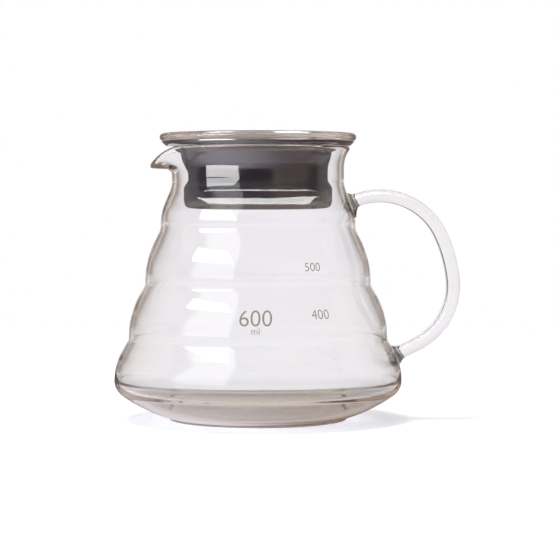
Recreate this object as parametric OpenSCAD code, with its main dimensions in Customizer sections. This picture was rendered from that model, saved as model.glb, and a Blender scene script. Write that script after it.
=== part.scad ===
// Coffee server: a blown glass carafe with a stepped wall, a pulled spout, a glass strap handle
// and a lift-off glass lid on a soft stopper ring. Origin at the centre of the foot, +Z up,
// handle towards +X, spout towards -X. All lengths in millimetres.

/* [Carafe wall] */
// Thickness of the blown wall
wall_t = 1.7; // [1.2:0.1:2.5]
// Thickness of the glass under the floor
floor_t = 2.2; // [1.8:0.1:4]
// Outer radius of the neck, where the wall is narrowest
neck_r = 35.2; // [28:0.1:45]
// Height of the straight stretch of the neck
neck_h = 5; // [2:0.5:10]

/* [Foot and base] */
// Radius of the flat foot
foot_r = 36.4; // [26:0.2:43]
// Height of the small step round the foot
foot_step = 0.9; // [0.4:0.1:1.4]
// Height of the widest line of the carafe above the table
base_h = 16; // [12:0.2:22]
// Radius of the rounded corner between the wall and the base
base_corner_r = 7; // [4:0.5:8]
// Slope of the base where it meets the rounded corner, in degrees
base_slope = 36; // [24:1:42]
// Radius of the corner inside, where the wall meets the floor
floor_corner_r = 4.8; // [2:0.1:6]

/* [Steps of the wall, from the widest up to the neck] */
// How far the wall draws in over the first step
step_1_in = 5.9; // [4:0.05:8]
// Height of the first step
step_1_h = 17.6; // [15:0.1:26]
// Length of its straight stretch, between the bulge and the valley
step_1_run = 5.2; // [1:0.1:8]
// How far the wall draws in over the second step
step_2_in = 6.75; // [4:0.05:8]
// Height of the second step
step_2_h = 22.5; // [15:0.1:28]
// Length of its straight stretch
step_2_run = 2.9; // [1:0.1:8]
// How far the wall draws in over the third step
step_3_in = 6.3; // [4:0.05:8]
// Height of the third step
step_3_h = 23.4; // [15:0.1:28]
// Length of its straight stretch
step_3_run = 2.7; // [1:0.1:8]
// How far the shoulder draws in to the neck
shoulder_in = 4.7; // [3:0.05:8]
// Height of the shoulder
shoulder_h = 18.5; // [15:0.1:26]
// Length of its straight stretch
shoulder_run = 4.9; // [1:0.1:8]

/* [Mouth and spout] */
// How far the mouth flares out beyond the neck
mouth_flare = 2.2; // [1.5:0.1:3.5]
// Height of the flare
mouth_h = 7.3; // [5.5:0.1:10]
// Distance from the axis to the end of the pulled lip
spout_reach = 43.3; // [41:0.1:52]
// How far the end of the lip hangs below the rim
spout_drop = 8; // [6.5:0.1:9.6]
// Half of the angle that the pull takes out of the rim, in degrees
spout_half_angle = 37; // [28:1:46]
// Outside radius where the lip leaves the neck
spout_root_r = 2.4; // [1.5:0.1:3]
// Rise of the lip towards its end, in degrees
spout_rise = 4; // [0:1:12]

/* [Handle] */
// Width of the glass strap, side to side
handle_w = 12; // [8:0.5:16]
// Thickness of the glass strap
handle_t = 5.2; // [4:0.1:7]
// Distance from the carafe's axis to the handle's back
handle_reach = 82.5; // [76:0.5:98]
// How far the middle of the strap's highest point lies below the foot of the neck
handle_drop = 6.5; // [4:0.5:10]
// Radius of the upper bend, to the middle of the strap
bend_upper_r = 27.5; // [22:0.5:33]
// Radius of the long back of the handle
bend_back_r = 57; // [45:1:70]
// Radius of the lower bend
bend_lower_r = 27; // [22:0.5:33]
// How far each fused foot of the handle spreads past the strap
foot_flare = 1.4; // [0.8:0.1:2.5]
// How far from the wall the strap starts to spread
foot_depth = 3.4; // [2:0.1:5]
// How far the upper foot sags down the shoulder
foot_sag = 2.6; // [1:0.1:4]

/* [Lid] */
// Thickness of the lid's glass disc
lid_t = 3.2; // [2.5:0.1:5]
// How far the disc reaches past the rim
lid_overhang = 2.7; // [2:0.1:4]
// Depth of the glass collar that carries the stopper ring
collar_h = 9; // [6:0.5:14]
// Wall of the glass collar
collar_t = 3; // [2:0.1:4]

/* [Stopper ring] */
// Thickness of the ring's flange over the rim
flange_t = 2; // [1.5:0.1:3]
// Thickness of the flange at its thin edge
flange_edge_t = 0.4; // [0.3:0.1:0.8]
// How far the flange's edge stays inside the glass disc's
flange_inset = 0.7; // [0.3:0.1:1.5]
// Depth of the skirt below the flange
skirt_h = 23.8; // [18:0.2:30]
// Wall of the skirt at its waist
skirt_t = 1.6; // [1.2:0.1:2.5]
// How far the bead stands out from the waist
bead_out = 1.85; // [1:0.05:3]
// Height of the bead
bead_h = 7.4; // [5:0.1:9]
// Clearance between the bead and the neck
neck_gap = 3.1; // [1:0.1:4]
// Clearance between the flange and the rim
seat_gap = 0.2; // [0.1:0.05:0.3]
// Clearance between the ring and the glass collar
collar_gap = 0.1; // [0.05:0.05:0.3]

/* [Hidden] */
$fn = 96;

// Heights of the wall's vertical tangents, from the widest line up
step_1_top = base_h + step_1_h;
step_2_top = step_1_top + step_2_h;
step_3_top = step_2_top + step_3_h;
neck_z = step_3_top + shoulder_h;
neck_top = neck_z + neck_h;

// Outer radii at the same heights
step_3_r = neck_r + shoulder_in;
step_2_r = step_3_r + step_3_in;
step_1_r = step_2_r + step_2_in;
belly_r = step_1_r + step_1_in;

// Share of each step's curves that bends the other way, from the widest step up to the shoulder
valley_shares = [0.08, 0.1, 0.16, 0.36];

// The flare is one arc, and the rim is rounded over the whole wall
flare_angle = 2 * atan(mouth_flare / mouth_h);
flare_r = mouth_h / sin(flare_angle);
rim_r = wall_t / 2;
crest_r = neck_r + mouth_flare - rim_r * cos(flare_angle);
crest_z = neck_top + mouth_h + rim_r * sin(flare_angle);
rim_z = crest_z + rim_r;
mouth_r = crest_r + rim_r;

// Numbers of straight pieces that stand for a curve
arc_pieces = 7;
rim_pieces = 6;
lip_rows = 9;
lip_columns = 30;

// The lip's facets stay this far inside the wall where the two are joined
lip_inset = 0.02;
lip_sink = 0.4;
lip_overlap_angle = 0.6;

function lerp(a, b, t) = a + (b - a) * t;
function arc(cx, cy, r, from, to, pieces) =
    [for (i = [0 : pieces]) let (a = lerp(from, to, i / pieces)) [cx + r * cos(a), cy + r * sin(a)]];
function curve(a, b, c, t) = lerp(lerp(a, b, t), lerp(b, c, t), t);
function rest(points) = [for (i = [1 : len(points) - 1]) points[i]];
function backwards(points) = [for (i = [len(points) - 1 : -1 : 0]) points[i]];

// One step of the wall, drawn upwards: a bulge that starts upright, a straight run that leans in,
// then a valley that ends upright. inset is the distance inside the outer surface.
function wall_step(r, z, draw_in, h, run, share, inset) =
    let (
        lean = 2 * atan(draw_in / (h + run)),
        both = (h - run * cos(lean)) / sin(lean),
        valley = share * both,
        bulge = both - valley
    )
    concat(
        arc(r - bulge, z, bulge - inset, 0, lean, arc_pieces),
        arc(r - draw_in + valley, z + h, valley + inset, 180 + lean, 180, arc_pieces)
    );

// The flare of the mouth, drawn upwards from the neck
function flare(inset) = arc(neck_r + flare_r, neck_top, flare_r + inset, 180, 180 - flare_angle, arc_pieces);

// The wall from the widest line to the end of the flare. Each stretch starts where the last one ended.
function wall_side(inset) = concat(
    wall_step(belly_r, base_h, step_1_in, step_1_h, step_1_run, valley_shares[0], inset),
    rest(wall_step(step_1_r, step_1_top, step_2_in, step_2_h, step_2_run, valley_shares[1], inset)),
    rest(wall_step(step_2_r, step_2_top, step_3_in, step_3_h, step_3_run, valley_shares[2], inset)),
    rest(wall_step(step_3_r, step_3_top, shoulder_in, shoulder_h, shoulder_run, valley_shares[3], inset)),
    flare(inset)
);

// Underside of the base: from the foot in a slack curve to the rounded corner
corner_x = belly_r - base_corner_r;
corner_start = [corner_x + base_corner_r * sin(base_slope), base_h - base_corner_r * cos(base_slope)];
foot_edge = [foot_r, foot_step];
base_run = norm(corner_start - foot_edge) / 2;
base_mid = corner_start - base_run * [cos(base_slope), sin(base_slope)];
function base_point(t) = curve(foot_edge, base_mid, corner_start, t);
function base_lean(t) = let (d = lerp(base_mid - foot_edge, corner_start - base_mid, t)) atan2(d[1], d[0]);
base_curve = [for (i = [0 : arc_pieces]) base_point(i / arc_pieces)];
base_corner = arc(corner_x, base_h, base_corner_r, base_slope - 90, 0, arc_pieces);

// Inside of the floor: level in the middle, then along the base at floor_t, then round into the wall
floor_z = foot_step + floor_t;
floor_curve = [for (i = [0 : arc_pieces]) let (t = i / arc_pieces, a = base_lean(t))
    base_point(t) + floor_t * [-sin(a), cos(a)]];
floor_end = floor_curve[arc_pieces];
inner_r = belly_r - wall_t;
meet_z = floor_end[1] + (inner_r - floor_end[0]) * tan(base_slope);
corner_back = floor_corner_r * tan((90 - base_slope) / 2);
floor_corner = arc(inner_r - floor_corner_r, meet_z + corner_back, floor_corner_r, base_slope - 90, 0, arc_pieces);

outer_outline = concat([[0, 0], [foot_r - foot_step / 2, 0], [foot_r, foot_step / 2]], base_curve,
    [for (i = [1 : arc_pieces - 1]) base_corner[i]], wall_side(0));
inner_outline = concat([[0, floor_z], [floor_curve[0][0], floor_z]], rest(floor_curve), floor_corner,
    wall_side(wall_t));
rim = arc(crest_r, crest_z, rim_r, -flare_angle, 180 - flare_angle, rim_pieces);

// Outside of the pulled lip, seen from the side: up the neck, round the root and out to the end
root_turn = 90 - spout_rise;
lip_under_z = rim_z - spout_drop - rim_r;
root_z = lip_under_z - spout_root_r * sin(root_turn) - (spout_reach - neck_r - spout_root_r) * sin(spout_rise);
lip_run = (spout_reach - neck_r - spout_root_r * (1 - cos(root_turn))) / cos(spout_rise);
lip_start_z = neck_z;

// A point of the lip's profile at share t of its height, inset from the outer surface
function lip_profile(t, inset) =
    let (
        root_length = spout_root_r * root_turn * PI / 180,
        rise = root_z - lip_start_z,
        s = t * (rise + root_length + lip_run),
        a = min(root_turn, max(0, (s - rise) / root_length * root_turn)),
        out = max(0, s - rise - root_length)
    )
    [neck_r + spout_root_r - (spout_root_r + inset) * cos(a) + out * cos(spout_rise),
        lip_start_z + min(s, rise) + (spout_root_r + inset) * sin(a) + out * sin(spout_rise)];

// The same point of the plain mouth
function mouth_profile(t, inset) =
    let (
        straight = neck_top - lip_start_z,
        s = t * (straight + flare_r * flare_angle * PI / 180),
        a = max(0, s - straight) / flare_r * 180 / PI
    )
    [neck_r + flare_r - (flare_r + inset) * cos(a), lip_start_z + min(s, straight) + (flare_r + inset) * sin(a)];

// How strongly the pull acts at an angle from the spout's middle
pull_power = 1.25;
function pull(a) = abs(a) >= spout_half_angle ? 0 : pow(cos(90 * a / spout_half_angle), pull_power);
function pulled(plain, lip, w) = [lerp(plain[0], lip[0], w), lerp(plain[1], lip[1], w * w)];
function lip_point(t, inset, w) = pulled(mouth_profile(t, inset), lip_profile(t, inset), w);

// The closed section of the wall at one angle: outer side, rounded edge, inner side
function lip_section(w) =
    let (
        o = lip_point(1, lip_inset, w),
        i = lip_point(1, wall_t - lip_inset, w),
        middle = (o + i) / 2,
        half = norm(o - i) / 2,
        lean = atan2(o[1] - i[1], o[0] - i[0])
    )
    concat(
        [[neck_r - lip_inset, lip_start_z - lip_sink]],
        [for (k = [0 : lip_rows - 1]) lip_point(k / lip_rows, lip_inset, w)],
        arc(middle[0], middle[1], half, lean, lean + 180, rim_pieces),
        [for (k = [lip_rows - 1 : -1 : 0]) lip_point(k / lip_rows, wall_t - lip_inset, w)],
        [[neck_r - wall_t + lip_inset, lip_start_z - lip_sink]]
    );

// Pulled lip: sections set side by side round the axis and skinned
module pulled_lip() {
    reach = spout_half_angle + lip_overlap_angle;
    angles = [for (i = [0 : lip_columns]) lerp(-reach, reach, i / lip_columns)];
    sections = [for (a = angles) [for (p = lip_section(pull(a))) [-p[0] * cos(a), p[0] * sin(a), p[1]]]];
    n = len(sections[0]);
    skin = [for (i = [0 : lip_columns - 1], k = [0 : n - 1]) let (m = (k + 1) % n)
        each [[i * n + k, (i + 1) * n + k, (i + 1) * n + m], [i * n + k, (i + 1) * n + m, i * n + m]]];
    cap = [for (k = [0 : (n - 3) / 2]) let (m = n - 1 - k)
        each k + 1 < m - 1 ? [[k, k + 1, m], [k + 1, m - 1, m]] : [[k, k + 1, m]]];
    far_cap = [for (t = cap) [for (k = [2 : -1 : 0]) t[k] + lip_columns * n]];
    polyhedron([for (s = sections) each s], concat(skin, cap, far_cap), convexity = 6);
}

// Space that the plain rim gives up to the lip
module lip_window() {
    size = 2 * spout_reach;
    half_width = size * tan(spout_half_angle);
    translate([0, 0, lip_start_z])
        linear_extrude(rim_z)
            polygon([[0, 0], [-size, half_width], [-size, -half_width]]);
}

// The carafe as if it were solid, which shapes what is fused to it
module outer_solid() {
    rotate_extrude()
        polygon(concat(outer_outline, [[0, neck_top + mouth_h]]));
}

module carafe_body() {
    color("gainsboro", 0.5) {
        difference() {
            rotate_extrude()
                polygon(concat(outer_outline, [for (i = [1 : rim_pieces - 1]) rim[i]], backwards(inner_outline)));
            lip_window();
        }
        pulled_lip();
    }
}

// Handle: three bends in one plane, tangent to each other, with a straight run into the wall at each end.
// Angles are of the strap's place round each bend's centre.
handle_start = 110;
upper_end = 25;
back_end = 6.5;
lower_end = -63.5;
strap_reach = handle_reach - handle_t / 2;
strap_top = neck_z - handle_drop;
function spoke(a) = [cos(a), sin(a)];
lower_z = strap_top - bend_upper_r - (bend_back_r - bend_upper_r) * sin(upper_end)
    - (bend_lower_r - bend_back_r) * sin(back_end);
lower_centre = [strap_reach - bend_lower_r, lower_z];
back_centre = lower_centre + (bend_lower_r - bend_back_r) * spoke(back_end);
upper_centre = back_centre + (bend_back_r - bend_upper_r) * spoke(upper_end);

// The strap's middle line as stations of place and heading, from inside the shoulder to inside the belly
bend_step = 5;
run_pieces = 12;
edge_pieces = 8;
run_in_r = neck_r - wall_t;
function bend(centre, r, from, to) =
    let (pieces = ceil((from - to) / bend_step))
    [for (i = [1 : pieces]) let (a = lerp(from, to, i / pieces)) [centre + r * spoke(a), a - 90]];
upper_root = upper_centre + bend_upper_r * spoke(handle_start);
lower_root = lower_centre + bend_lower_r * spoke(lower_end);
upper_run = (upper_root[0] - run_in_r) / sin(handle_start);
lower_run = (lower_root[0] - run_in_r) / abs(sin(lower_end));
stations = concat(
    [for (i = [run_pieces : -1 : 0])
        [upper_root - upper_run * i / run_pieces * spoke(handle_start - 90), handle_start - 90]],
    bend(upper_centre, bend_upper_r, handle_start, upper_end),
    bend(back_centre, bend_back_r, upper_end, back_end),
    bend(lower_centre, bend_lower_r, back_end, lower_end),
    [for (i = [1 : run_pieces]) [lower_root + lower_run * i / run_pieces * spoke(lower_end - 90), lower_end - 90]]
);

// The fused feet: the strap swells as it nears the wall, and the upper foot also sags
wall_radii = [for (p = wall_side(0)) [p[1], p[0]]];
function nearness(p) = max(0, 1 - max(0, p[0] - lookup(p[1], wall_radii)) / foot_depth);
function strap_section(station) =
    let (
        near = pow(nearness(station[0]), 2),
        half_t = handle_t / 2 + foot_flare * near,
        half_w = handle_w / 2 + foot_flare * near - half_t,
        sag = station[0][1] > lower_centre[1] ? foot_sag * near : 0,
        across = spoke(station[1] + 90)
    )
    [for (side = [-1, 1], i = [0 : edge_pieces])
        let (
            a = side * 90 + 180 * i / edge_pieces,
            lift = half_t * sin(-a),
            p = station[0] + (lift < 0 ? lift * (1 + sag / half_t) : lift) * across
        )
        [p[0], side * half_w - half_t * cos(a), p[1]]];

module handle() {
    sections = [for (s = stations) strap_section(s)];
    n = len(sections[0]);
    last = len(stations) - 1;
    skin = [for (i = [0 : last - 1], k = [0 : n - 1]) let (m = (k + 1) % n)
        each [[i * n + k, (i + 1) * n + k, (i + 1) * n + m], [i * n + k, (i + 1) * n + m, i * n + m]]];
    cap = [for (k = [1 : n - 2]) [0, k, k + 1]];
    far_cap = [for (t = cap) [for (k = [2 : -1 : 0]) t[k] + last * n]];
    color("gainsboro", 0.6)
        difference() {
            polyhedron([for (s = sections) each s], concat(skin, cap, far_cap), convexity = 4);
            outer_solid();
        }
}

// Lid: a glass disc with a rounded edge and a collar below it
lid_r = mouth_r + lid_overhang;
lid_z = rim_z + seat_gap + flange_t;
bead_r = neck_r - wall_t - neck_gap;
waist_r = bead_r - bead_out;
ring_r = waist_r - skirt_t;
collar_r = ring_r - collar_gap;

module lid_glass() {
    color("gainsboro", 0.6)
        rotate_extrude() {
            translate([0, lid_z])
                square([lid_r - lid_t / 2, lid_t]);
            translate([lid_r - lid_t / 2, lid_z + lid_t / 2])
                circle(lid_t / 2);
            translate([collar_r - collar_t, lid_z - collar_h])
                square([collar_t, collar_h + lid_t / 2]);
        }
}

// Stopper ring: a flange that lies on the rim, a waisted skirt in the neck and a round bead at its foot
flange_r = lid_r - flange_inset;
seat_z = lid_z - flange_t;
skirt_z = seat_z - skirt_h;
cove_h = (skirt_h - bead_h) / 2;
cove_out_share = 0.85;
bead_round_share = 0.34;
cove_out = bead_out * cove_out_share;
bead_round = bead_h * bead_round_share;

// Eases from one radius to another over a height, level at both ends
function ease(r0, z0, r1, z1) =
    [for (i = [0 : arc_pieces]) let (t = i / arc_pieces) [lerp(r0, r1, (1 - cos(180 * t)) / 2), lerp(z0, z1, t)]];

module lid_seal() {
    color("dimgray", 0.8)
        rotate_extrude()
            polygon(concat(
                [[ring_r, lid_z], [flange_r - flange_edge_t, lid_z], [flange_r, lid_z - flange_edge_t],
                    [mouth_r, seat_z], [crest_r - wall_t, seat_z]],
                ease(waist_r + cove_out, seat_z - flange_t, waist_r, seat_z - cove_h),
                ease(waist_r, skirt_z + bead_h + bead_out, bead_r, skirt_z + bead_h - bead_out),
                arc(bead_r - bead_round, skirt_z + bead_round, bead_round, 0, -90, arc_pieces),
                [[ring_r, skirt_z]]
            ));
}

carafe_body();
handle();
lid_glass();
lid_seal();
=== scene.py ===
"""Looks of the glass coffee server: blown carafe, fused strap handle, glass lid and smoky stopper ring."""

import math

import bmesh
import bpy
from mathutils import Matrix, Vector


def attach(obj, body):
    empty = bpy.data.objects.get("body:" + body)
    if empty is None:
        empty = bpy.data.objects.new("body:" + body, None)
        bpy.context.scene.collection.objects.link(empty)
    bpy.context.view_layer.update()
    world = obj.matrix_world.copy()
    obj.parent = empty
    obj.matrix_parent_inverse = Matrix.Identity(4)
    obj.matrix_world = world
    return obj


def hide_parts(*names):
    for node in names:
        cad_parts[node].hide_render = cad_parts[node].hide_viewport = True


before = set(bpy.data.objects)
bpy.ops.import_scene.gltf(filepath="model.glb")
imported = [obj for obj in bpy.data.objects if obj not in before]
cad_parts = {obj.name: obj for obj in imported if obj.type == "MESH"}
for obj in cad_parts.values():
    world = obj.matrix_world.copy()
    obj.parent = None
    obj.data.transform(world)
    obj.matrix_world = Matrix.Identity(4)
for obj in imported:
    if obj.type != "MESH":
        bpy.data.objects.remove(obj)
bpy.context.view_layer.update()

MM = 0.001

# Wall and base of the carafe, in millimetres, as the solids have them
WALL = 1.7
FLOOR = 2.2
NECK_R = 35.2
NECK_STRAIGHT = 5.0
FOOT_R = 36.4
FOOT_STEP = 0.9
BASE_H = 16.0
BASE_CORNER_R = 7.0
BASE_SLOPE = math.radians(36)
FLOOR_CORNER_R = 4.8
# Each step upwards: how far it draws in, its height, its straight run, the valley's share of both arcs
STEPS = ((5.9, 17.6, 5.2, 0.08),
         (6.75, 22.5, 2.9, 0.10),
         (6.3, 23.4, 2.7, 0.16),
         (4.7, 18.5, 4.9, 0.36))
MOUTH_FLARE = 2.2
MOUTH_H = 7.3

# Spout
SPOUT_REACH = 43.3
SPOUT_DROP = 8.0
SPOUT_HALF_ANGLE = math.radians(37)
SPOUT_ROOT_R = 2.4
SPOUT_RISE = math.radians(4)
PULL_POWER = 1.25

# Handle
HANDLE_W = 12.0
HANDLE_T = 5.2
HANDLE_REACH = 82.5
HANDLE_DROP = 6.5
# Each bend of its middle line: radius, first and last angle in degrees
BENDS = ((27.5, 110, 25), (57.0, 25, 6.5), (27.0, 6.5, -63.5))
FOOT_FLARE = 1.4
FOOT_DEPTH = 3.4
FOOT_SAG = 2.6
FOOT_SINK = 0.5

# Lid and stopper ring. The solids have all of these but COVE_LOWER and RING_AIR, the scene's own.
LID_T = 3.2
LID_OVERHANG = 2.7
COLLAR_H = 9.0
COLLAR_T = 3.0
COLLAR_ROUND_R = 0.6
FLANGE_T = 2.0
FLANGE_EDGE_T = 0.4
FLANGE_INSET = 0.7
SKIRT_H = 23.8
SKIRT_T = 1.6
BEAD_OUT = 1.85
BEAD_H = 7.4
BEAD_ROUND_SHARE = 0.34
COVE_OUT_SHARE = 0.85
COVE_LOWER = 1.6
NECK_GAP = 3.1
SEAT_GAP = 0.2
COLLAR_GAP = 0.1
RING_AIR = 0.03

# The wall is thinner on the bulges and thicker in the valleys by this share. The solids' wall is even.
UNEVEN = 0.145

# How finely the glass is drawn
TURNS = 288
ARC_ROWS = 12
MOUTH_ROWS = 20
STRAP_ROWS = 16
LEVEL_ROWS = 4
LID_ROWS = 8

BELLY_R = NECK_R + sum(s[0] for s in STEPS)
NECK_Z = BASE_H + sum(s[1] for s in STEPS)
NECK_TOP = NECK_Z + NECK_STRAIGHT
FLARE_ANGLE = 2 * math.atan(MOUTH_FLARE / MOUTH_H)
FLARE_R = MOUTH_H / math.sin(FLARE_ANGLE)
RIM_R = WALL / 2
CREST_R = NECK_R + MOUTH_FLARE - RIM_R * math.cos(FLARE_ANGLE)
RIM_Z = NECK_TOP + MOUTH_H + RIM_R * (math.sin(FLARE_ANGLE) + 1)
MOUTH_R = CREST_R + RIM_R


def lerp(a, b, t):
    return a + (b - a) * t


def arc(cx, cy, r, start, end, pieces=ARC_ROWS):
    return [(cx + r * math.cos(a), cy + r * math.sin(a))
            for a in (lerp(start, end, i / pieces) for i in range(pieces + 1))]


def wall_share(up):
    """The wall's thickness as a share of its mean, at a share of a step's height."""
    return 1 - UNEVEN * math.sin(2 * math.pi * up)


def step_rows(r, z, draw_in, h, run, share, inset):
    """One step of the wall, upwards: a bulge, a straight run that leans in, and a valley."""
    lean = 2 * math.atan(draw_in / (h + run))
    both = (h - run * math.cos(lean)) / math.sin(lean)
    valley = share * both
    bulge = both - valley
    rows = []
    for i in range(ARC_ROWS + 1):
        a = lean * i / ARC_ROWS
        d = bulge - inset * wall_share(bulge * math.sin(a) / h)
        rows.append((r - bulge + d * math.cos(a), z + d * math.sin(a)))
    for i in range(ARC_ROWS + 1):
        a = math.pi + lean * (1 - i / ARC_ROWS)
        d = valley + inset * wall_share(1 + valley * math.sin(a) / h)
        rows.append((r - draw_in + valley + d * math.cos(a), z + h + d * math.sin(a)))
    return rows


def wall_rows(inset):
    """The wall from its widest line up to the neck."""
    rows = []
    r, z = BELLY_R, BASE_H
    for draw_in, h, run, share in STEPS:
        rows += step_rows(r, z, draw_in, h, run, share, inset)[1 if rows else 0:]
        r, z = r - draw_in, z + h
    return rows


def base_rows():
    """Underside and floor of the base: two lists of points, both from the middle outwards."""
    corner_x = BELLY_R - BASE_CORNER_R
    end = Vector((corner_x + BASE_CORNER_R * math.sin(BASE_SLOPE),
                  BASE_H - BASE_CORNER_R * math.cos(BASE_SLOPE)))
    start = Vector((FOOT_R, FOOT_STEP))
    middle = end - Vector((math.cos(BASE_SLOPE), math.sin(BASE_SLOPE))) * (end - start).length / 2
    under, floor = [], []
    for i in range(ARC_ROWS + 1):
        t = i / ARC_ROWS
        p = start.lerp(middle, t).lerp(middle.lerp(end, t), t)
        along = (middle - start).lerp(end - middle, t).normalized()
        under.append(tuple(p))
        floor.append((p.x - along.y * FLOOR, p.y + along.x * FLOOR))
    corner = arc(corner_x, BASE_H, BASE_CORNER_R, BASE_SLOPE - math.pi / 2, 0)
    inner_r = BELLY_R - WALL
    meet = floor[-1][1] + (inner_r - floor[-1][0]) * math.tan(BASE_SLOPE)
    back = FLOOR_CORNER_R * math.tan((math.pi / 2 - BASE_SLOPE) / 2)
    inner_corner = arc(inner_r - FLOOR_CORNER_R, meet + back, FLOOR_CORNER_R, BASE_SLOPE - math.pi / 2, 0)
    foot = [(FOOT_R * i / LEVEL_ROWS, 0) for i in range(1, LEVEL_ROWS)]
    foot.append((FOOT_R - FOOT_STEP, 0))
    foot += arc(FOOT_R - FOOT_STEP / 2, FOOT_STEP / 2, FOOT_STEP / 2, -math.pi / 2, 0, LEVEL_ROWS)
    level = [(floor[0][0] * i / LEVEL_ROWS, FOOT_STEP + FLOOR) for i in range(1, LEVEL_ROWS)]
    return foot + under + corner[1:-1], level + floor + inner_corner


def pull(angle):
    """How strongly the spout's pull acts at an angle from its middle, from 0 to 1."""
    if abs(angle) >= SPOUT_HALF_ANGLE:
        return 0.0
    return math.cos(math.pi / 2 * angle / SPOUT_HALF_ANGLE) ** PULL_POWER


def lip_profile(t, inset):
    """A point of the pulled lip in its middle plane, at share t of its height."""
    turn = math.pi / 2 - SPOUT_RISE
    flat = SPOUT_REACH - NECK_R
    root_z = (RIM_Z - SPOUT_DROP - RIM_R - SPOUT_ROOT_R * math.sin(turn)
              - (flat - SPOUT_ROOT_R) * math.sin(SPOUT_RISE))
    run = (flat - SPOUT_ROOT_R * (1 - math.cos(turn))) / math.cos(SPOUT_RISE)
    rise = root_z - NECK_Z
    s = t * (rise + SPOUT_ROOT_R * turn + run)
    a = min(turn, max(0, (s - rise) / SPOUT_ROOT_R))
    out = max(0, s - rise - SPOUT_ROOT_R * turn)
    return (NECK_R + SPOUT_ROOT_R - (SPOUT_ROOT_R + inset) * math.cos(a) + out * math.cos(SPOUT_RISE),
            NECK_Z + min(s, rise) + (SPOUT_ROOT_R + inset) * math.sin(a) + out * math.sin(SPOUT_RISE))


def mouth_profile(t, inset):
    """The same point of the plain flared mouth."""
    s = t * (NECK_STRAIGHT + FLARE_R * FLARE_ANGLE)
    a = max(0, s - NECK_STRAIGHT) / FLARE_R
    return (NECK_R + FLARE_R - (FLARE_R + inset) * math.cos(a),
            NECK_Z + min(s, NECK_STRAIGHT) + (FLARE_R + inset) * math.sin(a))


def mouth_section(w):
    """The mouth's rows at one angle, up the outside, over the rim and down the inside."""
    def point(t, inset):
        plain, lip = mouth_profile(t, inset), lip_profile(t, inset)
        return lerp(plain[0], lip[0], w), lerp(plain[1], lip[1], w * w)
    outside = [point(i / MOUTH_ROWS, 0) for i in range(1, MOUTH_ROWS)]
    inside = [point(i / MOUTH_ROWS, WALL) for i in range(MOUTH_ROWS - 1, 0, -1)]
    o, i = point(1, 0), point(1, WALL)
    lean = math.atan2(o[1] - i[1], o[0] - i[0])
    half = math.dist(o, i) / 2
    return outside + arc((o[0] + i[0]) / 2, (o[1] + i[1]) / 2, half, lean, lean + math.pi) + inside


def mesh_object(name, points, faces):
    mesh = bpy.data.meshes.new(name)
    mesh.from_pydata([tuple(c * MM for c in p) for p in points], [], faces)
    mesh.validate()
    mesh.shade_smooth()
    obj = bpy.data.objects.new(name, mesh)
    bpy.context.scene.collection.objects.link(obj)
    return obj


def skin(columns, closed_ends, ring=True):
    """Faces between columns of points of equal length.

    closed_ends joins the last point of a column to its first, and ring the last column to the first.
    """
    count, n = len(columns), len(columns[0])
    faces = []
    for i in range(count if ring else count - 1):
        j = (i + 1) % count
        faces += [(i * n + k, j * n + k, j * n + k + 1, i * n + k + 1) for k in range(n - 1)]
        if closed_ends:
            faces.append((i * n + n - 1, j * n + n - 1, j * n, i * n))
    return faces


def lathe(name, section, closed=True):
    """A ring turned round the upright axis from section(angle), a list of (radius, height).

    Returns the object and the number of points in each of its columns.
    """
    columns = []
    for i in range(TURNS):
        a = 2 * math.pi * i / TURNS
        columns.append([(r * math.cos(a), r * math.sin(a), z) for r, z in section(a)])
    points = [p for c in columns for p in c]
    return mesh_object(name, points, skin(columns, closed)), len(columns[0])


def cap_pole(obj, ring, z, flip):
    """Closes a lathe's open end with a point on the axis. ring lists the end's vertices."""
    mesh = obj.data
    points = [tuple(v.co / MM) for v in mesh.vertices]
    faces = [tuple(p.vertices) for p in mesh.polygons]
    points.append((0, 0, z))
    pole = len(points) - 1
    for a, b in zip(ring, ring[1:] + ring[:1]):
        faces.append((b, a, pole) if flip else (a, b, pole))
    mesh.clear_geometry()
    mesh.from_pydata([tuple(c * MM for c in p) for p in points], [], faces)
    mesh.shade_smooth()


def blown_carafe():
    """One skin: from the middle of the foot up the outside, over the lip and down to the floor's middle."""
    under, floor = base_rows()
    outside = under + wall_rows(0)
    inside = list(reversed(floor[:-1] + wall_rows(WALL)))
    sections = {}

    def section(a):
        off = math.remainder(a - math.pi, 2 * math.pi)
        w = pull(off)
        if w not in sections:
            sections[w] = outside + mouth_section(w) + inside
        return sections[w]

    obj, n = lathe("blown_carafe", section, closed=False)
    cap_pole(obj, [i * n for i in range(TURNS)], 0, flip=True)
    cap_pole(obj, [i * n + n - 1 for i in range(TURNS)], FOOT_STEP + FLOOR, flip=False)
    return obj


def outer_radius(z):
    """Radius of the carafe's outside at a height, for what is fused to it or printed on it."""
    rows = base_rows()[0] + wall_rows(0)
    for (r0, z0), (r1, z1) in zip(rows, rows[1:]):
        if z0 <= z <= z1:
            return lerp(r0, r1, (z - z0) / (z1 - z0)) if z1 > z0 else r0
    return NECK_R


def spoke(degrees):
    a = math.radians(degrees)
    return Vector((math.cos(a), math.sin(a)))


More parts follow.
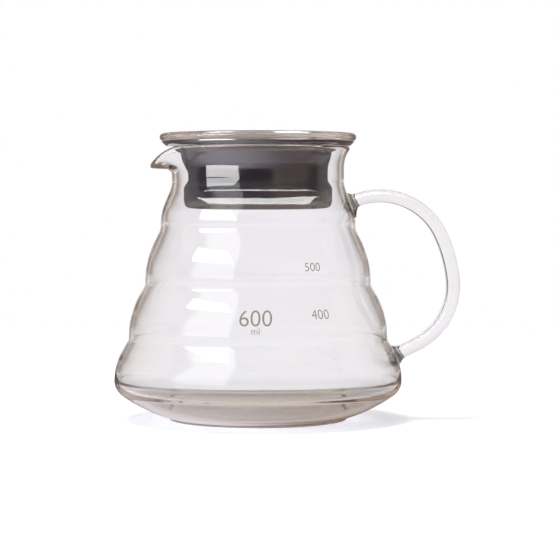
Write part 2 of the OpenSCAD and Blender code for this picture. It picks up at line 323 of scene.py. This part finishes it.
def strap_stations():
    """The strap's middle line: places and headings from inside the shoulder to inside the belly."""
    (ru, _, upper_end), (rb, _, back_end), (rl, _, _) = BENDS
    drop = HANDLE_DROP + ru + (rb - ru) * spoke(upper_end).y + (rl - rb) * spoke(back_end).y
    lower = Vector((HANDLE_REACH - HANDLE_T / 2 - rl, NECK_Z - drop))
    back = lower + (rl - rb) * spoke(back_end)
    upper = back + (rb - ru) * spoke(upper_end)
    stations = []
    for centre, (r, a0, a1) in zip((upper, back, lower), BENDS):
        pieces = math.ceil((a0 - a1) / 2)
        for i in range(1 if stations else 0, pieces + 1):
            a = lerp(a0, a1, i / pieces)
            stations.append((centre + r * spoke(a), a - 90))
    first, last = stations[0], stations[-1]
    head = [(first[0] - spoke(first[1]) * d, first[1]) for d in wall_run(first[0], -spoke(first[1]))]
    tail = [(last[0] + spoke(last[1]) * d, last[1]) for d in wall_run(last[0], spoke(last[1]))]
    return head[::-1] + stations + tail


def wall_run(place, way):
    """Distances along a straight run from place until it is FOOT_SINK inside the wall."""
    step, d, run = 0.25, 0.0, []
    while (place + way * d).x > outer_radius((place + way * d).y) - FOOT_SINK:
        d += step
        run.append(d)
    return run


def strap_section(place, heading, upper):
    """The strap's rounded section at a station, swollen where it nears the wall."""
    near = max(0, 1 - max(0, place.x - outer_radius(place.y)) / FOOT_DEPTH) ** 2
    half_t = HANDLE_T / 2 + FOOT_FLARE * near
    half_w = HANDLE_W / 2 + FOOT_FLARE * near - half_t
    sag = FOOT_SAG * near if upper else 0
    across = spoke(heading + 90)
    points = []
    for side in (-1, 1):
        for i in range(STRAP_ROWS + 1):
            a = side * math.pi / 2 + math.pi * i / STRAP_ROWS
            lift = -half_t * math.sin(a)
            p = place + across * (lift * (1 + sag / half_t) if lift < 0 else lift)
            points.append((p.x, side * half_w - half_t * math.cos(a), p.y))
    return points


def glass_handle():
    stations = strap_stations()
    middle = HANDLE_REACH - HANDLE_T / 2
    lowest_back = min(s[0].y for s in stations if s[0].x > middle - 1)
    columns = [strap_section(p, h, p.y > lowest_back) for p, h in stations]
    n = len(columns[0])
    faces = skin(columns, closed_ends=True, ring=False)
    faces += [tuple(range(n)), tuple(reversed(range((len(columns) - 1) * n, len(columns) * n)))]
    return mesh_object("glass_handle", [p for c in columns for p in c], faces)


def face_outwards(obj):
    bm = bmesh.new()
    bm.from_mesh(obj.data)
    bmesh.ops.recalc_face_normals(bm, faces=bm.faces)
    bm.to_mesh(obj.data)
    bm.free()
    return obj


LID_R = MOUTH_R + LID_OVERHANG
LID_Z = RIM_Z + SEAT_GAP + FLANGE_T
BEAD_R = NECK_R - WALL - NECK_GAP
WAIST_R = BEAD_R - BEAD_OUT
RING_R = WAIST_R - SKIRT_T
COLLAR_R = RING_R - COLLAR_GAP


def lid_disc():
    """The pressed disc: rounded edge, and the collar that carries the stopper ring."""
    edge = arc(LID_R - LID_T / 2, LID_Z + LID_T / 2, LID_T / 2, -math.pi / 2, math.pi / 2)
    top = [(LID_R * (1 - i / LID_ROWS), LID_Z + LID_T) for i in range(1, LID_ROWS)]
    hollow_r = COLLAR_R - COLLAR_T
    round_z = LID_Z - COLLAR_H + COLLAR_ROUND_R
    under = [(hollow_r * i / LEVEL_ROWS, LID_Z) for i in range(1, LEVEL_ROWS)]
    under += [(hollow_r, LID_Z), (hollow_r, round_z)]
    under += arc(hollow_r + COLLAR_ROUND_R, round_z, COLLAR_ROUND_R, math.pi, 1.5 * math.pi, LEVEL_ROWS)
    under += arc(COLLAR_R - COLLAR_ROUND_R, round_z, COLLAR_ROUND_R, -math.pi / 2, 0, LEVEL_ROWS)
    under += [(COLLAR_R, LID_Z), (lerp(COLLAR_R, LID_R, 0.5), LID_Z)]
    rows = under + edge + top
    obj, n = lathe("lid_disc", lambda a: rows, closed=False)
    cap_pole(obj, [i * n for i in range(TURNS)], LID_Z, flip=True)
    cap_pole(obj, [i * n + n - 1 for i in range(TURNS)], LID_Z + LID_T, flip=False)
    return obj


def ease(r0, z0, r1, z1):
    """Rows from one radius to another over a height, level at both ends."""
    return [(lerp(r0, r1, (1 - math.cos(math.pi * i / ARC_ROWS)) / 2), lerp(z0, z1, i / ARC_ROWS))
            for i in range(ARC_ROWS + 1)]


def stopper_ring():
    """The ring: flange on the rim, waisted skirt in the neck, round bead at its foot."""
    flange_r = LID_R - FLANGE_INSET
    seat = LID_Z - FLANGE_T
    foot = seat - SKIRT_H
    cove = (SKIRT_H - BEAD_H) / 2
    bead_round = BEAD_H * BEAD_ROUND_SHARE
    top = LID_Z - RING_AIR
    rows = [(RING_R, top), (flange_r - FLANGE_EDGE_T, top), (flange_r, LID_Z - FLANGE_EDGE_T),
            (MOUTH_R, seat), (CREST_R - WALL, seat)]
    rows += ease(WAIST_R + BEAD_OUT * COVE_OUT_SHARE, seat - FLANGE_T, WAIST_R, seat - cove - COVE_LOWER)
    rows += ease(WAIST_R, foot + BEAD_H + BEAD_OUT, BEAD_R, foot + BEAD_H - BEAD_OUT)
    rows += arc(BEAD_R - bead_round, foot + bead_round, bead_round, 0, -math.pi / 2)
    rows += [(RING_R, foot)]
    rows.reverse()
    return lathe("stopper_ring", lambda a: rows, closed=True)[0]


# Materials
GLASS_IOR = 1.47
GLASS_SHADOW = (0.79, 0.80, 0.84, 1)
WALL_GLASS = (0.8, 0.72, 0.64, 1)
PRESSED_GLASS = (0.84, 0.77, 0.70, 1)
SMOKE = (0.030, 0.024, 0.032, 1)
INK = (0.42, 0.37, 0.29, 1)


def new_material(name):
    mat = bpy.data.materials.new(name)
    mat.use_nodes = True
    tree = mat.node_tree
    tree.nodes.clear()
    return mat, tree


def node(tree, kind, inputs=None, **settings):
    n = tree.nodes.new(kind)
    for key, value in settings.items():
        setattr(n, key, value)
    for key, value in (inputs or {}).items():
        n.inputs[key].default_value = value
    return n


def waviness(tree, scale, strength, distance, stretch=2.5):
    """A slow ripple of the surface, as on blown or pressed glass, drawn out level by stretch."""
    coord = node(tree, "ShaderNodeTexCoord")
    squash = node(tree, "ShaderNodeMapping", {"Scale": (1, 1, stretch)})
    noise = node(tree, "ShaderNodeTexNoise", {"Scale": scale, "Detail": 1.0})
    bump = node(tree, "ShaderNodeBump", {"Strength": strength, "Distance": distance})
    tree.links.new(coord.outputs["Object"], squash.inputs["Vector"])
    tree.links.new(squash.outputs["Vector"], noise.inputs["Vector"])
    tree.links.new(noise.outputs["Fac"], bump.inputs["Height"])
    return bump


def clear_glass(name, shade, density, ripple=0.15, scale=30, stretch=2.5):
    """Blown glass: its own faint colour shows where it is thick, and its shadow is light."""
    mat, tree = new_material(name)
    out = node(tree, "ShaderNodeOutputMaterial")
    glass = node(tree, "ShaderNodeBsdfPrincipled",
                 {"Base Color": (1, 1, 1, 1), "Roughness": 0.0, "IOR": GLASS_IOR,
                  "Transmission Weight": 1.0})
    bump = waviness(tree, scale, ripple, 0.0004, stretch)
    tree.links.new(bump.outputs["Normal"], glass.inputs["Normal"])
    through = node(tree, "ShaderNodeBsdfTransparent", {"Color": GLASS_SHADOW})
    path = node(tree, "ShaderNodeLightPath")
    mix = node(tree, "ShaderNodeMixShader")
    tree.links.new(path.outputs["Is Shadow Ray"], mix.inputs["Fac"])
    tree.links.new(glass.outputs["BSDF"], mix.inputs[1])
    tree.links.new(through.outputs["BSDF"], mix.inputs[2])
    tree.links.new(mix.outputs["Shader"], out.inputs["Surface"])
    depth = node(tree, "ShaderNodeVolumeAbsorption", {"Color": shade, "Density": density})
    tree.links.new(depth.outputs["Volume"], out.inputs["Volume"])
    return mat


def smoky_silicone():
    """Dark silicone with a glossy skin and a very slight ripple."""
    mat, tree = new_material("smoky_silicone")
    out = node(tree, "ShaderNodeOutputMaterial")
    body = node(tree, "ShaderNodeBsdfPrincipled",
                {"Base Color": SMOKE, "Roughness": 0.12, "IOR": 1.6, "Specular IOR Level": 0.9,
                 "Coat Weight": 1.0, "Coat IOR": 2.0, "Coat Roughness": 0.03})
    bump = waviness(tree, 120, 0.08, 0.0002)
    tree.links.new(bump.outputs["Normal"], body.inputs["Normal"])
    tree.links.new(body.outputs["BSDF"], out.inputs["Surface"])
    return mat


# The camera, and the prints that are placed through it: plain numbers, wrapped onto the glass
EYE = Vector((9.0, -834.0, 89.4))
FOCUS_PX = 2035
EYE_LEVEL_PX = 201
MIDDLE_PX = 280
PICTURE_PX = 560
SENSOR_MM = 36.0
PRINT_PROUD = 0.03
PRINT_THINNING = 0.01
CAP_SCALE = 1.4
LONGEST_PRINT_EDGE = 0.4
# Each print: name, text, place of its middle in pixels, height in millimetres
PRINTS = (("mark_500", "500", 312.5, 267.5, 3.4),
          ("mark_400", "400", 320.5, 315, 3.8),
          ("mark_600", "600", 255.5, 319.5, 6.4),
          ("mark_ml", "ml", 255.5, 332, 2.6))


def wall_point(px, py):
    """The point of the near wall seen at a pixel of the photograph."""
    way = Vector(((px - MIDDLE_PX) / FOCUS_PX, 1.0, (EYE_LEVEL_PX - py) / FOCUS_PX))
    near, far = -EYE.y - BELLY_R - 5, -EYE.y
    for _ in range(40):
        d = (near + far) / 2
        p = EYE + way * d
        inside = math.hypot(p.x, p.y) < outer_radius(p.z)
        near, far = (near, d) if inside else (d, far)
    return EYE + way * near


def printed(name, text, px, py, height):
    """A number of a given height in millimetres, centred at a pixel and laid on the wall."""
    curve = bpy.data.curves.new(name, "FONT")
    curve.body = text
    curve.align_x = "CENTER"
    curve.align_y = "CENTER"
    curve.size = height * CAP_SCALE
    curve.offset = -PRINT_THINNING * height
    curve.resolution_u = 6
    obj = bpy.data.objects.new(name, curve)
    bpy.context.scene.collection.objects.link(obj)
    bpy.context.view_layer.update()
    drawn = obj.evaluated_get(bpy.context.evaluated_depsgraph_get())
    flat = bpy.data.meshes.new_from_object(drawn)
    bpy.data.objects.remove(obj)
    bm = bmesh.new()
    bm.from_mesh(flat)
    long_edges = [e for e in bm.edges if e.calc_length() > LONGEST_PRINT_EDGE]
    bmesh.ops.subdivide_edges(bm, edges=long_edges, cuts=2)
    bmesh.ops.triangulate(bm, faces=bm.faces)
    centre = wall_point(px, py)
    turn = math.atan2(centre.x, -centre.y)
    for v in bm.verts:
        z = centre.z + v.co.y
        r = outer_radius(z)
        a = turn + v.co.x / r
        out = r + PRINT_PROUD
        v.co = Vector((out * math.sin(a), -out * math.cos(a), z)) * MM
    bm.to_mesh(flat)
    bm.free()
    piece = bpy.data.objects.new(name, flat)
    bpy.context.scene.collection.objects.link(piece)
    return piece


def print_ink():
    """Matt ink with a fine grain."""
    mat, tree = new_material("print_ink")
    out = node(tree, "ShaderNodeOutputMaterial")
    ink = node(tree, "ShaderNodeBsdfPrincipled", {"Base Color": INK, "Roughness": 0.6})
    noise = node(tree, "ShaderNodeTexNoise", {"Scale": 900.0})
    bump = node(tree, "ShaderNodeBump", {"Strength": 0.2, "Distance": 0.00002})
    tree.links.new(noise.outputs["Fac"], bump.inputs["Height"])
    tree.links.new(bump.outputs["Normal"], ink.inputs["Normal"])
    tree.links.new(ink.outputs["BSDF"], out.inputs["Surface"])
    return mat


def set_material(obj, mat):
    obj.data.materials.clear()
    obj.data.materials.append(mat)


def build():
    carafe_glass = clear_glass("carafe_glass", WALL_GLASS, 20, ripple=0.45, scale=12, stretch=9)
    handle_glass = clear_glass("handle_glass", WALL_GLASS, 12, ripple=0.1)
    lid_glass = clear_glass("lid_glass", PRESSED_GLASS, 9, ripple=0.2)
    silicone = smoky_silicone()
    ink = print_ink()

    pieces = ((blown_carafe(), carafe_glass, "carafe", "carafe_body", "carafe_glass"),
              (glass_handle(), handle_glass, "carafe", "handle", "handle_glass"),
              (lid_disc(), lid_glass, "lid", "lid_glass", "lid_glass"),
              (stopper_ring(), silicone, "lid", "lid_seal", "stopper_silicone"))
    for obj, mat, body, cad_node, slot in pieces:
        face_outwards(obj)
        set_material(obj, mat)
        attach(obj, body)
        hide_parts(cad_node)
    for name, text, px, py, height in PRINTS:
        obj = printed(name, text, px, py, height)
        set_material(obj, ink)
        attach(obj, "carafe")


# Studio. The table and the room show one thing to the camera, one to rays that glass has bent,
# and one to rays that a polished surface has mirrored.
WHITE = (1, 1, 1, 1)
BACKDROP = (0.965, 0.95, 1.0, 1)
BROWN_ROOM = (0.40, 0.32, 0.27, 1)
BLUE_ROOM = (0.62, 0.62, 0.80, 1)
TABLE_LEFT = (0.95, 0.87, 1.0, 1)
TABLE_RIGHT = (0.20, 0.14, 0.13, 1)
TABLE_SEEN = (1.0, 0.99, 1.0, 1)
TABLE_BENT = (0.85, 0.78, 1.0, 1)
# Painted shadow: the dim warm colour the table shows through glass under the foot, in place of the carafe's
# shadow there
PAINTED_SHADOW_UNDER_FOOT = (0.64, 0.57, 0.51, 1)
FAR_FIELD = (0.55, 0.5, 0.48, 1)
SIDE_FIELD = (0.62, 0.57, 0.53, 1)
BROWN_FIELD = (0.17, 0.10, 0.05, 1)
DIM_FIELD = (0.04, 0.035, 0.045, 1)
TABLE_R = 0.6
TABLE_EDGES = 96

# Distances from the axis, in metres, over which the painted shadow under the foot ends, and over which, for
# rays mirrored back from behind the glass, the painted shadow on the near table gives way to the mirrored
# table
PAINTED_SHADOW_ENDS = (0.042, 0.064)
NEAR_TABLE_ENDS = (0.11, 0.14)

# Strength of the window in the room, and how much weaker the outermost surface mirrors it.
# Rays that come back out from behind the glass don't show it.
WINDOW = 2.8
WINDOW_LESS_FIRST = 2.2


def link(tree, value, socket):
    """Sets a socket to a plain number, or links another node's output to it."""
    if isinstance(value, (int, float)):
        socket.default_value = value
    else:
        tree.links.new(value, socket)


def maths(tree, operation, a, b=0.0):
    n = node(tree, "ShaderNodeMath", operation=operation)
    link(tree, a, n.inputs[0])
    link(tree, b, n.inputs[1])
    return n.outputs[0]


def ramp(tree, value, low, high, start=0.0, end=1.0):
    """A smooth step from start to end as value goes from low to high."""
    limits = {"From Min": low, "From Max": high, "To Min": start, "To Max": end}
    n = node(tree, "ShaderNodeMapRange", limits, interpolation_type="SMOOTHSTEP")
    link(tree, value, n.inputs["Value"])
    return n.outputs["Result"]


def between(tree, value, low, high, soft):
    """1 between low and high, 0 outside, with soft borders."""
    return maths(tree, "MULTIPLY", ramp(tree, value, low - soft, low + soft),
                 ramp(tree, value, high - soft, high + soft, 1.0, 0.0))


def mix_shaders(tree, share, a, b):
    n = node(tree, "ShaderNodeMixShader")
    tree.links.new(share, n.inputs["Fac"])
    tree.links.new(a, n.inputs[1])
    tree.links.new(b, n.inputs[2])
    return n.outputs["Shader"]


def mirrored_table(tree, way, kind):
    """The table as polished surfaces mirror it: violet white on the left, brown and dim on the right."""
    flat = node(tree, "ShaderNodeVectorMath", {1: (1, 1, 0)}, operation="MULTIPLY")
    tree.links.new(way, flat.inputs[0])
    unit = node(tree, "ShaderNodeVectorMath", operation="NORMALIZE")
    tree.links.new(flat.outputs["Vector"], unit.inputs[0])
    split = node(tree, "ShaderNodeSeparateXYZ")
    tree.links.new(unit.outputs["Vector"], split.inputs["Vector"])
    left = node(tree, kind, {"Color": TABLE_LEFT})
    link(tree, ramp(tree, split.outputs["Y"], -0.3, 0.5, 0.85, 0.2), left.inputs["Strength"])
    right = node(tree, kind, {"Color": TABLE_RIGHT, "Strength": 1.0})
    to_right = ramp(tree, split.outputs["X"], -0.8, 0.95)
    return mix_shaders(tree, to_right, left.outputs[0], right.outputs[0])


def first_mirror(tree, path):
    """1 for a ray that the outermost surface has mirrored."""
    return maths(tree, "SUBTRACT", path.outputs["Is Glossy Ray"], path.outputs["Is Transmission Ray"])


def from_behind_glass(tree, path):
    """1 for a ray that something behind the glass wall has mirrored back out."""
    deep = maths(tree, "GREATER_THAN", path.outputs["Transmission Depth"], 2.5)
    return maths(tree, "MULTIPLY", deep, maths(tree, "MINIMUM", path.outputs["Glossy Depth"], 1.0))


def floor():
    """A white table without a horizon: its lit colour and its glow add up to the backdrop's white."""
    mesh = bpy.data.meshes.new("studio_floor")
    turns = [2 * math.pi * i / TABLE_EDGES for i in range(TABLE_EDGES)]
    mesh.from_pydata([(TABLE_R * math.cos(a), TABLE_R * math.sin(a), 0) for a in turns], [],
                     [tuple(range(TABLE_EDGES))])
    obj = bpy.data.objects.new("studio_floor", mesh)
    bpy.context.scene.collection.objects.link(obj)
    mat, tree = new_material("studio_floor")
    out = node(tree, "ShaderNodeOutputMaterial")
    path = node(tree, "ShaderNodeLightPath")
    place = node(tree, "ShaderNodeTexCoord")
    away = node(tree, "ShaderNodeVectorMath", operation="LENGTH")
    tree.links.new(place.outputs["Object"], away.inputs[0])
    away = away.outputs["Value"]

    # The lit cloth, with a glow for the camera and a fainter one for rays that glass has bent
    cloth = node(tree, "ShaderNodeBsdfDiffuse", {"Color": (0.8, 0.8, 0.8, 1)})
    seen = node(tree, "ShaderNodeEmission", {"Color": TABLE_SEEN, "Strength": 0.31})
    bent = node(tree, "ShaderNodeEmission", {"Color": TABLE_BENT, "Strength": 0.14})
    none = node(tree, "ShaderNodeEmission", {"Strength": 0.0})
    glow = mix_shaders(tree, path.outputs["Is Transmission Ray"], none.outputs[0], bent.outputs[0])
    glow = mix_shaders(tree, path.outputs["Is Camera Ray"], glow, seen.outputs[0])
    add = node(tree, "ShaderNodeAddShader")
    tree.links.new(cloth.outputs["BSDF"], add.inputs[0])
    tree.links.new(glow, add.inputs[1])

    # Painted shadow: a dim warm glow under the foot, and on the near table for rays mirrored back from
    # behind the glass, seen only through glass
    painted_shadow = node(tree, "ShaderNodeEmission", {"Color": PAINTED_SHADOW_UNDER_FOOT, "Strength": 1.0})
    returned = from_behind_glass(tree, path)
    near = maths(tree, "MULTIPLY", returned, ramp(tree, away, *NEAR_TABLE_ENDS, 1.0, 0.0))
    painted_shadow_share = maths(tree, "MAXIMUM", ramp(tree, away, *PAINTED_SHADOW_ENDS, 1.0, 0.0), near)
    painted_shadow_share = maths(tree, "MULTIPLY", path.outputs["Is Transmission Ray"], painted_shadow_share)
    surface = mix_shaders(tree, painted_shadow_share, add.outputs["Shader"], painted_shadow.outputs[0])

    # The table as it is mirrored
    mirrored = mirrored_table(tree, place.outputs["Object"], "ShaderNodeEmission")
    far_out = maths(tree, "MULTIPLY", returned, ramp(tree, away, *NEAR_TABLE_ENDS))
    mirror = maths(tree, "MAXIMUM", first_mirror(tree, path), far_out)
    surface = mix_shaders(tree, mirror, surface, mirrored)
    tree.links.new(surface, out.inputs["Surface"])
    set_material(obj, mat)


def sun_lamp(name, way, strength, spread):
    """A soft lamp that lights the table and the dull surfaces, and is mirrored nowhere."""
    data = bpy.data.lights.new(name, "SUN")
    data.energy = strength
    data.angle = math.radians(spread)
    obj = bpy.data.objects.new(name, data)
    bpy.context.scene.collection.objects.link(obj)
    obj.rotation_euler = Vector(way).to_track_quat("-Z", "Y").to_euler()
    obj.visible_glossy = False
    obj.visible_transmission = False


def card(name, edges, strength):
    """A glowing strip between two rows of points, seen only by what mirrors it."""
    points = [p for pair in zip(*edges) for p in pair]
    faces = [(2 * i, 2 * i + 1, 2 * i + 3, 2 * i + 2) for i in range(len(points) // 2 - 1)]
    mesh = bpy.data.meshes.new(name)
    mesh.from_pydata(points, [], faces)
    obj = bpy.data.objects.new(name, mesh)
    bpy.context.scene.collection.objects.link(obj)
    mat, tree = new_material(name)
    out = node(tree, "ShaderNodeOutputMaterial")
    lit = node(tree, "ShaderNodeEmission", {"Color": WHITE, "Strength": strength})
    tree.links.new(lit.outputs[0], out.inputs["Surface"])
    set_material(obj, mat)
    for ray in ("camera", "diffuse", "transmission", "shadow", "volume_scatter"):
        setattr(obj, "visible_" + ray, False)


def fan(left, right, pieces):
    """Angles from left to right of the front, given in degrees."""
    return [math.radians(lerp(left, right, i / pieces)) for i in range(pieces + 1)]


def front_arc(reach, turns, height):
    return [(reach * math.sin(a), -reach * math.cos(a), height) for a in turns]


def overhead_light():
    """A lit strip above the mouth, curved so that the shoulder mirrors it as a level band."""
    edges = []
    for reach, bow, half_angle in ((0.1206, 0.0483, 42), (0.1310, 0.0537, 31)):
        turns = fan(-half_angle, half_angle, 32)
        edges.append([(reach * math.sin(a), bow / math.cos(a) - reach * math.cos(a), 0.125)
                      for a in turns])
    card("overhead_strip", edges, 14.0)


def front_pane():
    """A bright pane well in front of the neck, which mirrors it as a small window."""
    edges = [front_arc(0.12, fan(-61.5, right, 24), height)
             for right, height in ((-20.4, 0.0993), (-27.7, 0.13))]
    card("front_pane", edges, 12.0)


def lid_glints():
    """Two small panes over the lid's edge, which mirrors them as glints."""
    for name, left, right, strength in (("glint_right", 18.0, 54.0, 18.0),
                                        ("glint_left", -58.0, -28.0, 9.0)):
        card(name, [front_arc(reach, fan(left, right, 16), 0.16) for reach in (0.034, 0.085)], strength)


def background(tree, color, strength=1.0):
    return node(tree, "ShaderNodeBackground", {"Color": color, "Strength": strength}).outputs[0]


def through_glass(tree, azimuth, rise):
    """Lit backdrops every 45 degrees round the table, so that glass shows a bright field from each side."""
    lit = ramp(tree, maths(tree, "COSINE", maths(tree, "MULTIPLY", azimuth, 8.0)), -0.75, 0.2)
    high = maths(tree, "MULTIPLY", ramp(tree, rise, 0.04, 0.2, 1.0, 0.85),
                 ramp(tree, rise, 0.45, 0.7, 1.0, 0.4))
    return mix_shaders(tree, maths(tree, "MULTIPLY", lit, high),
                       background(tree, BROWN_ROOM, 0.6), background(tree, BACKDROP, 0.975))


def mirrored_room(tree, way, azimuth, first, returned):
    """The room in polished surfaces: a window at the front left, dim walls, dark behind the camera."""
    x, y, rise = way
    camera_side = ramp(tree, y, -0.96, -0.88, 0.15, 1.0)
    brown_share = maths(tree, "MAXIMUM", ramp(tree, x, -0.4, 0.4), ramp(tree, y, 0.1, 0.4))
    blue_wall = node(tree, "ShaderNodeBackground", {"Color": BLUE_ROOM})
    brown_wall = node(tree, "ShaderNodeBackground", {"Color": BROWN_ROOM})
    link(tree, maths(tree, "MULTIPLY", camera_side, 0.16), blue_wall.inputs["Strength"])
    link(tree, maths(tree, "MULTIPLY", camera_side, 0.5), brown_wall.inputs["Strength"])
    walls = mix_shaders(tree, brown_share, blue_wall.outputs[0], brown_wall.outputs[0])
    room = mix_shaders(tree, ramp(tree, y, 0.92, 0.99), walls, background(tree, BACKDROP, 0.8))

    side = maths(tree, "MULTIPLY", ramp(tree, azimuth, -2.74, -2.68),
                 ramp(tree, azimuth, -2.0, -1.78, 1.0, 0.0))
    window = maths(tree, "MULTIPLY", side, between(tree, rise, 0.0, 0.85, 0.03))
    strength = maths(tree, "SUBTRACT", WINDOW, maths(tree, "MULTIPLY", first, WINDOW_LESS_FIRST))
    strength = maths(tree, "SUBTRACT", strength, maths(tree, "MULTIPLY", returned, WINDOW))
    window_light = node(tree, "ShaderNodeBackground", {"Color": WHITE})
    link(tree, strength, window_light.inputs["Strength"])
    return mix_shaders(tree, window, room, window_light.outputs[0])


def mirrored_ahead(tree, y, rise, returned):
    """What rays show that turn back inside the glass and leave it away from the camera."""
    straight = maths(tree, "MULTIPLY", ramp(tree, y, 0.95, 0.985), between(tree, rise, -0.45, 0.45, 0.05))
    ahead = mix_shaders(tree, ramp(tree, y, 0.82, 0.94),
                        background(tree, SIDE_FIELD, 1.4), background(tree, FAR_FIELD, 0.9))
    ahead = mix_shaders(tree, straight, ahead, background(tree, BROWN_FIELD))
    return mix_shaders(tree, returned, ahead, background(tree, DIM_FIELD))


def studio_world():
    """White where the camera looks; glass and polish see a lit backdrop and a dim room."""
    world = bpy.data.worlds.new("studio")
    bpy.context.scene.world = world
    world.use_nodes = True
    tree = world.node_tree
    tree.nodes.clear()
    out = node(tree, "ShaderNodeOutputWorld")
    path = node(tree, "ShaderNodeLightPath")
    coord = node(tree, "ShaderNodeTexCoord")
    split = node(tree, "ShaderNodeSeparateXYZ")
    tree.links.new(coord.outputs["Generated"], split.inputs["Vector"])
    x, y, rise = (split.outputs[axis] for axis in "XYZ")
    azimuth = maths(tree, "ARCTAN2", x, y)
    first = first_mirror(tree, path)
    returned = from_behind_glass(tree, path)

    room = mirrored_room(tree, (x, y, rise), azimuth, first, returned)
    table = mirrored_table(tree, coord.outputs["Generated"], "ShaderNodeBackground")
    low = maths(tree, "MULTIPLY", ramp(tree, rise, -0.12, 0.0, 1.0, 0.0),
                maths(tree, "MAXIMUM", first, returned))
    room = mix_shaders(tree, low, room, table)

    bounced = mix_shaders(tree, ramp(tree, y, -0.1, 0.1), room, mirrored_ahead(tree, y, rise, returned))
    polished = mix_shaders(tree, maths(tree, "MINIMUM", path.outputs["Glossy Depth"], 1.0),
                           through_glass(tree, azimuth, rise), bounced)
    polished = mix_shaders(tree, first, polished, room)
    light = mix_shaders(tree, path.outputs["Is Glossy Ray"], background(tree, WHITE, 0.35), polished)
    light = mix_shaders(tree, path.outputs["Is Camera Ray"], light, background(tree, WHITE))
    tree.links.new(light, out.inputs["Surface"])


def camera():
    data = bpy.data.cameras.new("camera")
    data.sensor_width = SENSOR_MM
    data.lens = FOCUS_PX / PICTURE_PX * SENSOR_MM
    data.clip_start, data.clip_end = 0.01, 20
    obj = bpy.data.objects.new("camera", data)
    bpy.context.scene.collection.objects.link(obj)
    obj.location = EYE * MM
    pitch = math.atan((MIDDLE_PX - EYE_LEVEL_PX) / FOCUS_PX)
    obj.rotation_euler = (math.pi / 2 - pitch, 0, 0)
    bpy.context.scene.camera = obj


camera()
build()
floor()
overhead_light()
front_pane()
lid_glints()
sun_lamp("key", (0.2, 0.02, -0.98), 2.2, 12)
studio_world()
scene = bpy.context.scene
scene.view_settings.view_transform = "Standard"
scene.cycles.max_bounces = 64
scene.cycles.transmission_bounces = 32
scene.cycles.glossy_bounces = 48
scene.cycles.transparent_max_bounces = 24
